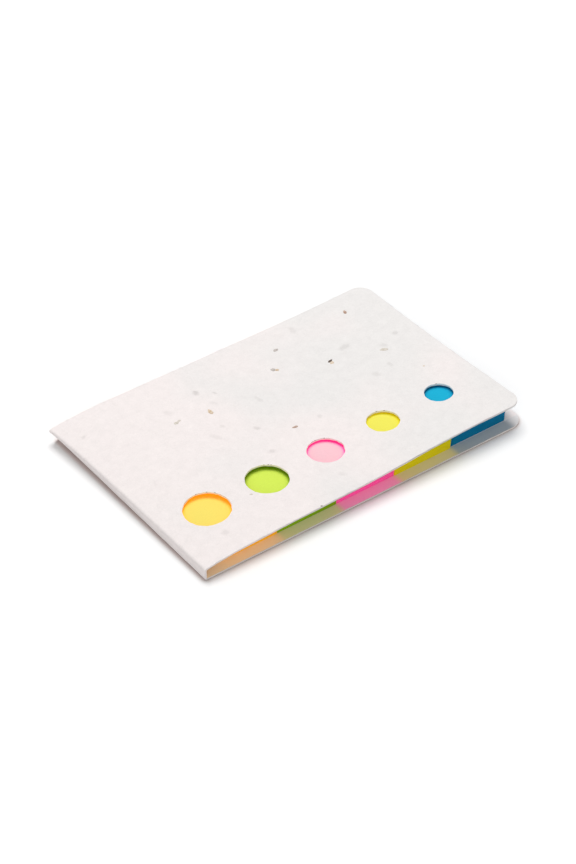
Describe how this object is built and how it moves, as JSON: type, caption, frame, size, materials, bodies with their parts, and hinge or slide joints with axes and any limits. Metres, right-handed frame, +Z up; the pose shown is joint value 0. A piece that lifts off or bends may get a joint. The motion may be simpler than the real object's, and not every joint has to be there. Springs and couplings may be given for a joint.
{
  "type": "seed paper sticky notes",
  "caption": "Folded seed paper cover with a row of round windows in its front leaf, over neon page marker pads glued side by side on the back leaf.",
  "frame": {"origin": "on the surface the notes lie on, under the middle of the closed cover", "axes": "+X from the fold to the fore edge, +Y along the fold, away from the row of windows, +Z up out of the front cover"},
  "size_m": [0.0838, 0.055, 0.0061],
  "materials": {
    "seed_paper": "uncoated, fibrous, with small seeds in it",
    "orange_paper": "neon, uncoated",
    "green_paper": "neon, uncoated",
    "pink_paper": "neon, uncoated",
    "yellow_paper": "neon, uncoated",
    "blue_paper": "neon, uncoated"
  },
  "bodies": {
    "back": {"back_cover": "seed_paper", "orange_marker_pad": "orange_paper", "green_marker_pad": "green_paper", "pink_marker_pad": "pink_paper", "yellow_marker_pad": "yellow_paper", "blue_marker_pad": "blue_paper"},
    "front_leaf": {"front_cover": "seed_paper"}
  },
  "joints": [
    {"name": "front_leaf_fold", "type": "hinge", "parent": "back", "child": "front_leaf", "pos_m": [-0.04192, 0, 0.00275], "axis": [0, -1, 0], "range_deg": [0, 177]}
  ]
}
